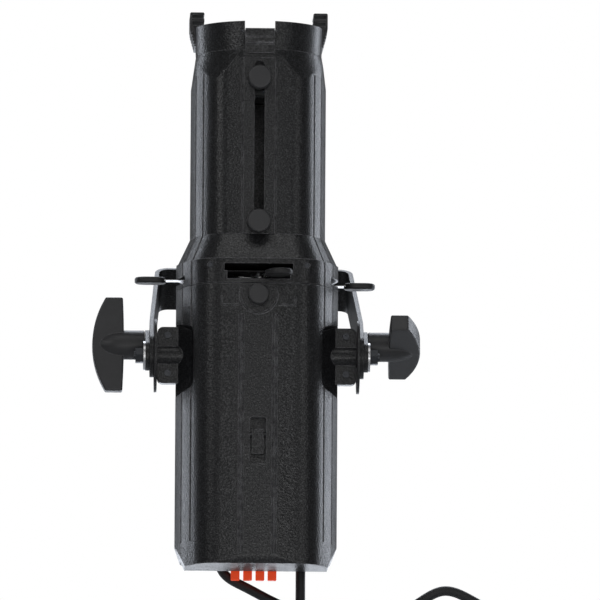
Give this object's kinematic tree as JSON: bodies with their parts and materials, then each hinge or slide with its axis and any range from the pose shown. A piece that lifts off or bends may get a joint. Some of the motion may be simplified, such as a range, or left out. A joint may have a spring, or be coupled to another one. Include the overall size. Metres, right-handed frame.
{
  "type": "ellipsoidal spotlight",
  "caption": "Black LED profile spotlight for theatre: rotating gate with framing shutters, zoom lens tube with focus knobs, and a tilting yoke with lock knobs.",
  "frame": {"origin": "centre of the hanging hole in the yoke crossbar, mid thickness of the strap", "axes": "+Z along the optical axis towards the lens with the yoke set 27.5 degrees forward of square, +X along the tilt axis, -Y the side with the focus slot and the accessory slot"},
  "size_m": [0.514, 0.3583, 0.8235],
  "materials": {
    "black_casting": "fine texture powder coat, satin",
    "black_yoke": "fine texture powder coat, satin",
    "black_internal": "matt black",
    "bright_steel": "zinc plated",
    "black_oxide_steel": "black oxide",
    "blade_steel": "bare stainless",
    "black_knob": "moulded, fine spark texture",
    "grip_plastic": "moulded, matt",
    "button_red": "translucent orange-red silicone",
    "display_dark": "gloss",
    "lens_glass": "polished",
    "sink_aluminium": "satin",
    "pcb_green": "solder mask",
    "led_yellow": "phosphor",
    "cable_rubber": "matt"
  },
  "bodies": {
    "yoke": {"yoke_strap": "black_yoke", "yoke_end_plates": "black_yoke", "pivot_washers": "bright_steel", "yoke_nuts": "black_oxide_steel"},
    "left_knob": {"left_lock_knob": "black_knob"},
    "right_knob": {"right_lock_knob": "black_knob"},
    "housing": {"near_shell": "black_casting", "far_shell": "black_casting", "housing_screws": "black_oxide_steel", "safety_bar": "black_casting", "tilt_discs": "black_yoke", "pivot_bolts": "black_oxide_steel", "bearing_ring": "black_internal", "condenser_holder": "black_internal", "condenser_lens": "lens_glass", "led_module": "led_yellow", "heat_sink": "sink_aluminium", "fan_frame": "black_internal", "engine_frame": "black_internal", "power_supply": "black_internal", "control_panel": "black_internal", "display_window": "display_dark", "control_board": "pcb_green", "cable_glands": "black_knob", "power_in_cable": "cable_rubber", "power_out_cable": "cable_rubber", "cable_connectors": "black_knob"},
    "fan": {"fan_rotor": "black_internal"},
    "lock_knob": {"barrel_lock_knob": "black_knob"},
    "barrel": {"gate_housing": "black_casting", "neck_retainer": "bright_steel", "gate_plates": "black_internal", "shutter_pins": "bright_steel", "barrel_fasteners": "black_oxide_steel", "tube_near_shell": "black_casting", "tube_far_shell": "black_casting", "accessory_holder": "black_casting"},
    "front_lens_carriage": {"front_carriage": "black_internal", "front_lens": "lens_glass"},
    "rear_lens_carriage": {"rear_carriage": "black_internal", "rear_lens": "lens_glass"},
    "front_knob": {"front_focus_knob": "black_knob"},
    "rear_knob": {"rear_focus_knob": "black_knob"},
    "latch": {"frame_latch": "black_casting"},
    "push_1": {"button_1": "button_red"},
    "push_2": {"button_2": "button_red"},
    "push_3": {"button_3": "button_red"},
    "push_4": {"button_4": "button_red"},
    "left_swivel": {"left_shutter_bush": "blade_steel"},
    "left_blade": {"left_shutter_blade": "blade_steel", "left_shutter_grip": "grip_plastic"},
    "right_swivel": {"right_shutter_bush": "blade_steel"},
    "right_blade": {"right_shutter_blade": "blade_steel", "right_shutter_grip": "grip_plastic"},
    "near_swivel": {"near_shutter_bush": "blade_steel"},
    "near_blade": {"near_shutter_blade": "blade_steel", "near_shutter_grip": "grip_plastic"},
    "far_swivel": {"far_shutter_bush": "blade_steel"},
    "far_blade": {"far_shutter_blade": "blade_steel", "far_shutter_grip": "grip_plastic"}
  },
  "joints": [
    {"name": "tilt", "type": "hinge", "parent": "yoke", "child": "housing", "pos_m": [0, -0.20756, -0.10805], "axis": [1, 0, 0], "range_deg": [-28, 78]},
    {"name": "left_knob_turn", "type": "hinge", "parent": "yoke", "child": "left_knob", "pos_m": [0, -0.17563, -0.09143], "axis": [-1, 0, 0], "range_deg": [0, 270]},
    {"name": "right_knob_turn", "type": "hinge", "parent": "yoke", "child": "right_knob", "pos_m": [0, -0.17563, -0.09143], "axis": [1, 0, 0], "range_deg": [0, 270]},
    {"name": "fan_spin", "type": "hinge", "parent": "housing", "child": "fan", "pos_m": [0, -0.20756, -0.22805], "axis": [0, 0, 1], "continuous": true},
    {"name": "barrel_rotation", "type": "hinge", "parent": "housing", "child": "barrel", "pos_m": [0, -0.20756, -0.02805], "axis": [0, 0, 1], "range_deg": [-25, 25]},
    {"name": "rotation_lock_turn", "type": "hinge", "parent": "housing", "child": "lock_knob", "pos_m": [0, -0.29756, -0.04455], "axis": [0, -1, 0], "range_deg": [0, 270]},
    {"name": "button_1_press", "type": "slide", "parent": "housing", "child": "push_1", "axis": [0, 0, 1], "range_m": [0, 0.0015]},
    {"name": "button_2_press", "type": "slide", "parent": "housing", "child": "push_2", "axis": [0, 0, 1], "range_m": [0, 0.0015]},
    {"name": "button_3_press", "type": "slide", "parent": "housing", "child": "push_3", "axis": [0, 0, 1], "range_m": [0, 0.0015]},
    {"name": "button_4_press", "type": "slide", "parent": "housing", "child": "push_4", "axis": [0, 0, 1], "range_m": [0, 0.0015]},
    {"name": "front_lens_focus", "type": "slide", "parent": "barrel", "child": "front_lens_carriage", "axis": [0, 0, 1], "range_m": [-0.07, 0], "stiffness_N_per_m": 1500},
    {"name": "rear_lens_focus", "type": "slide", "parent": "barrel", "child": "rear_lens_carriage", "axis": [0, 0, 1], "range_m": [0, 0.07]},
    {"name": "front_knob_turn", "type": "hinge", "parent": "front_lens_carriage", "child": "front_knob", "pos_m": [0, -0.29256, 0.21845], "axis": [0, -1, 0], "range_deg": [0, 270]},
    {"name": "rear_knob_turn", "type": "hinge", "parent": "rear_lens_carriage", "child": "rear_knob", "pos_m": [0, -0.29256, 0.04475], "axis": [0, -1, 0], "range_deg": [0, 270]},
    {"name": "latch_flip", "type": "hinge", "parent": "barrel", "child": "latch", "pos_m": [0, -0.28046, 0.27595], "axis": [-1, 0, 0], "range_deg": [0, 145]},
    {"name": "left_shutter_swivel", "type": "hinge", "parent": "barrel", "child": "left_swivel", "pos_m": [-0.072, -0.20756, -0.02005], "axis": [0, 0, 1], "range_deg": [-20, 20]},
    {"name": "left_shutter_slide", "type": "slide", "parent": "left_swivel", "child": "left_blade", "axis": [-1, 0, 0], "range_m": [-0.01, 0.02]},
    {"name": "right_shutter_swivel", "type": "hinge", "parent": "barrel", "child": "right_swivel", "pos_m": [0.072, -0.20756, -0.02005], "axis": [0, 0, 1], "range_deg": [-20, 20]},
    {"name": "right_shutter_slide", "type": "slide", "parent": "right_swivel", "child": "right_blade", "axis": [1, 0, 0], "range_m": [-0.0045, 0.02]},
    {"name": "near_shutter_swivel", "type": "hinge", "parent": "barrel", "child": "near_swivel", "pos_m": [0, -0.27356, -0.02005], "axis": [0, 0, 1], "range_deg": [-49, 1]},
    {"name": "near_shutter_slide", "type": "slide", "parent": "near_swivel", "child": "near_blade", "axis": [0.4067, -0.9135, 0], "range_m": [-0.008, 0.02]},
    {"name": "far_shutter_swivel", "type": "hinge", "parent": "barrel", "child": "far_swivel", "pos_m": [0, -0.14156, -0.02005], "axis": [0, 0, 1], "range_deg": [-20, 20]},
    {"name": "far_shutter_slide", "type": "slide", "parent": "far_swivel", "child": "far_blade", "axis": [0, 1, 0], "range_m": [-0.008, 0.02]}
  ]
}
